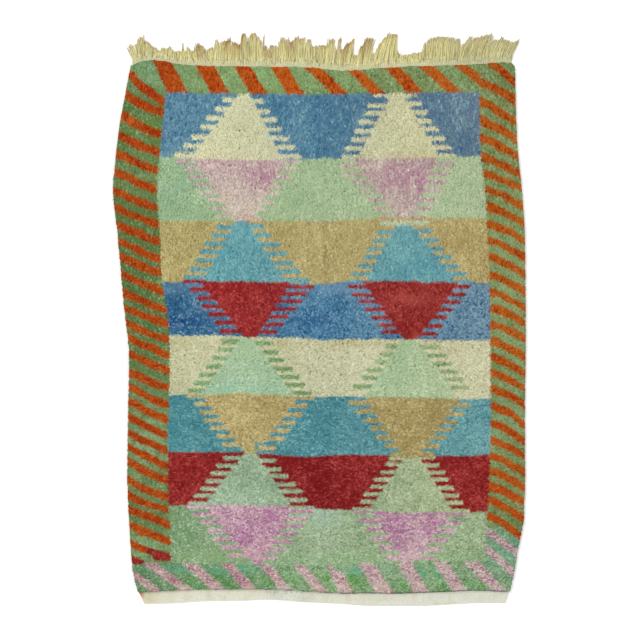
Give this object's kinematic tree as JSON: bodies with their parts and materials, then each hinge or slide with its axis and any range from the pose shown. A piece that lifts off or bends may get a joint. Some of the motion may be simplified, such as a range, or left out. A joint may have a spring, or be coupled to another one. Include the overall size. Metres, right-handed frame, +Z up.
{
  "type": "konya rug",
  "caption": "Knotted wool rug lying flat, uneven in outline, with a field of comb-edged triangles in a slanted-stripe border, a warp fringe at one end and a plain woven heading at the other.",
  "frame": {"origin": "on the floor under the middle of the rug's bounding box", "axes": "+Y along the length towards the fringed end, +Z up out of the pile, +X to the right with the fringe away from you"},
  "size_m": [1.2428, 1.7178, 0.0134],
  "materials": {
    "pile": "dyed wool pile, knotted, matt with a soft sheen",
    "fringe": "undyed wool warp ends, loose, matt",
    "heading": "undyed wool plain weave, weft faced, matt"
  },
  "bodies": {
    "root": {"knotted_pile": "pile", "fringe_heading": "fringe", "plain_heading": "heading"}
  },
  "joints": []
}
